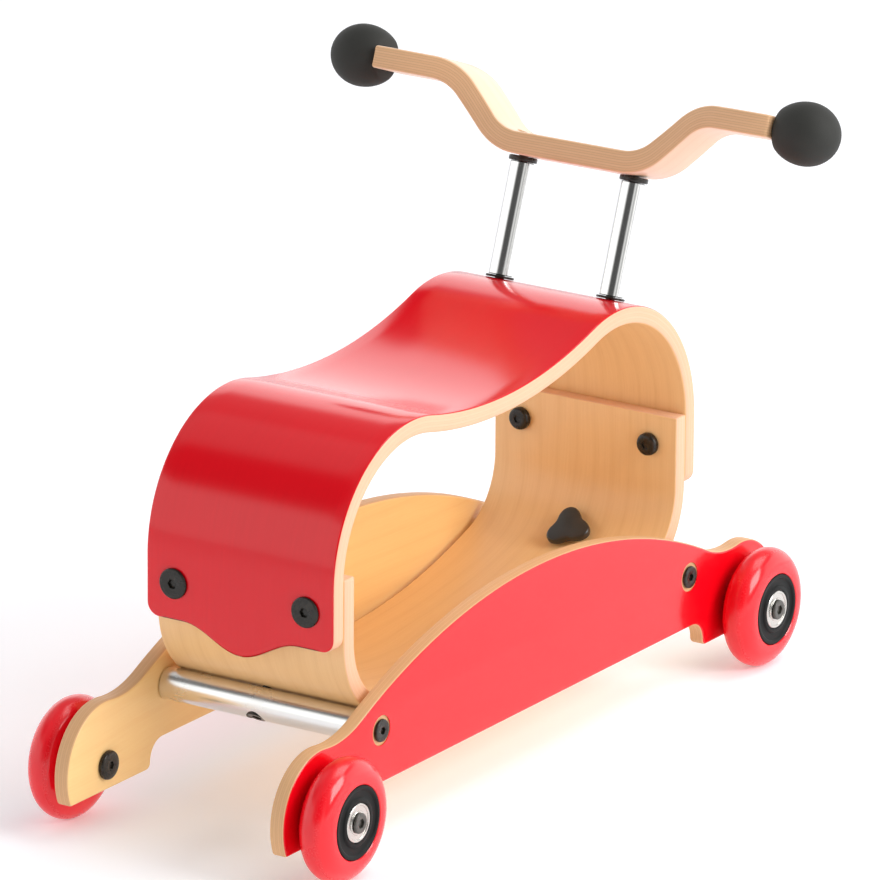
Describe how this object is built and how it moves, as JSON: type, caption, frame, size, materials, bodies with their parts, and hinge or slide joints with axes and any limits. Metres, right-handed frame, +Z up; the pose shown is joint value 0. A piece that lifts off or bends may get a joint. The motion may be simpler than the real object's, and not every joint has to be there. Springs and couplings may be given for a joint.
{
  "type": "rocking ride-on toy",
  "caption": "Toddler ride-on of bent plywood: red saddle with a handlebar on posts, on an arched wheeled chassis with red rolling wheels and clamping knobs.",
  "frame": {"origin": "on the floor, midway between the front and rear axles and between the side boards", "axes": "+X towards the rider's right, +Y in the direction of travel, +Z up"},
  "size_m": [0.338, 0.51, 0.3605],
  "materials": {
    "red_lacquer": "glossy red lacquer on plywood",
    "natural_ply": "clear satin lacquer, laminations at the edges",
    "bar_ply": "clear satin lacquer, laminations at the edges",
    "aluminium": "polished",
    "black_steel": "blackened, satin",
    "black_rubber": "matt",
    "black_plastic": "semi-gloss",
    "red_tyre": "smooth glossy polyurethane",
    "bearing_steel": "ground"
  },
  "bodies": {
    "toy": {"saddle": "red_lacquer", "cradle": "natural_ply", "handlebar": "bar_ply", "side_board_right": "red_lacquer", "grip_right": "black_rubber", "post_right": "aluminium", "post_foot_washer_right": "black_steel", "post_top_washer_right": "black_steel", "post_foot_screw_right": "black_steel", "handlebar_screw_right": "black_steel", "side_board_left": "red_lacquer", "grip_left": "black_rubber", "post_left": "aluminium", "post_foot_washer_left": "black_steel", "post_top_washer_left": "black_steel", "post_foot_screw_left": "black_steel", "handlebar_screw_left": "black_steel", "cross_bar_front": "aluminium", "chassis_bolt_front": "black_steel", "cross_bar_screw_front_right": "black_steel", "seat_bolt_front_right": "black_steel", "seat_nut_front_right": "black_steel", "axle_bolt_front_right": "black_steel", "axle_nut_front_right": "black_steel", "cross_bar_screw_front_left": "black_steel", "seat_bolt_front_left": "black_steel", "seat_nut_front_left": "black_steel", "axle_bolt_front_left": "black_steel", "axle_nut_front_left": "black_steel", "cross_bar_rear": "aluminium", "chassis_bolt_rear": "black_steel", "cross_bar_screw_rear_right": "black_steel", "seat_bolt_rear_right": "black_steel", "seat_nut_rear_right": "black_steel", "axle_bolt_rear_right": "black_steel", "axle_nut_rear_right": "black_steel", "cross_bar_screw_rear_left": "black_steel", "seat_bolt_rear_left": "black_steel", "seat_nut_rear_left": "black_steel", "axle_bolt_rear_left": "black_steel", "axle_nut_rear_left": "black_steel"},
    "wheel_front_right": {"tyre_front_right": "red_tyre", "hub_front_right": "black_plastic", "bearing_inner_front_right": "bearing_steel", "bearing_outer_front_right": "bearing_steel"},
    "wheel_front_left": {"tyre_front_left": "red_tyre", "hub_front_left": "black_plastic", "bearing_inner_front_left": "bearing_steel", "bearing_outer_front_left": "bearing_steel"},
    "wheel_rear_right": {"tyre_rear_right": "red_tyre", "hub_rear_right": "black_plastic", "bearing_inner_rear_right": "bearing_steel", "bearing_outer_rear_right": "bearing_steel"},
    "wheel_rear_left": {"tyre_rear_left": "red_tyre", "hub_rear_left": "black_plastic", "bearing_inner_rear_left": "bearing_steel", "bearing_outer_rear_left": "bearing_steel"},
    "knob_front": {"chassis_knob_front": "black_plastic"},
    "knob_rear": {"chassis_knob_rear": "black_plastic"}
  },
  "joints": [
    {"name": "wheel_spin_front_right", "type": "hinge", "parent": "toy", "child": "wheel_front_right", "pos_m": [0.088, 0.218, 0.035], "axis": [1, 0, 0], "continuous": true},
    {"name": "wheel_spin_front_left", "type": "hinge", "parent": "toy", "child": "wheel_front_left", "pos_m": [-0.088, 0.218, 0.035], "axis": [1, 0, 0], "continuous": true},
    {"name": "wheel_spin_rear_right", "type": "hinge", "parent": "toy", "child": "wheel_rear_right", "pos_m": [0.088, -0.218, 0.035], "axis": [1, 0, 0], "continuous": true},
    {"name": "wheel_spin_rear_left", "type": "hinge", "parent": "toy", "child": "wheel_rear_left", "pos_m": [-0.088, -0.218, 0.035], "axis": [1, 0, 0], "continuous": true},
    {"name": "knob_turn_front", "type": "hinge", "parent": "toy", "child": "knob_front", "pos_m": [0.003, 0.1478, 0.08283], "axis": [0, -0.5878, 0.809], "continuous": true},
    {"name": "knob_turn_rear", "type": "hinge", "parent": "toy", "child": "knob_rear", "pos_m": [-0.003, -0.1478, 0.08283], "axis": [0, 0.5878, 0.809], "continuous": true}
  ]
}
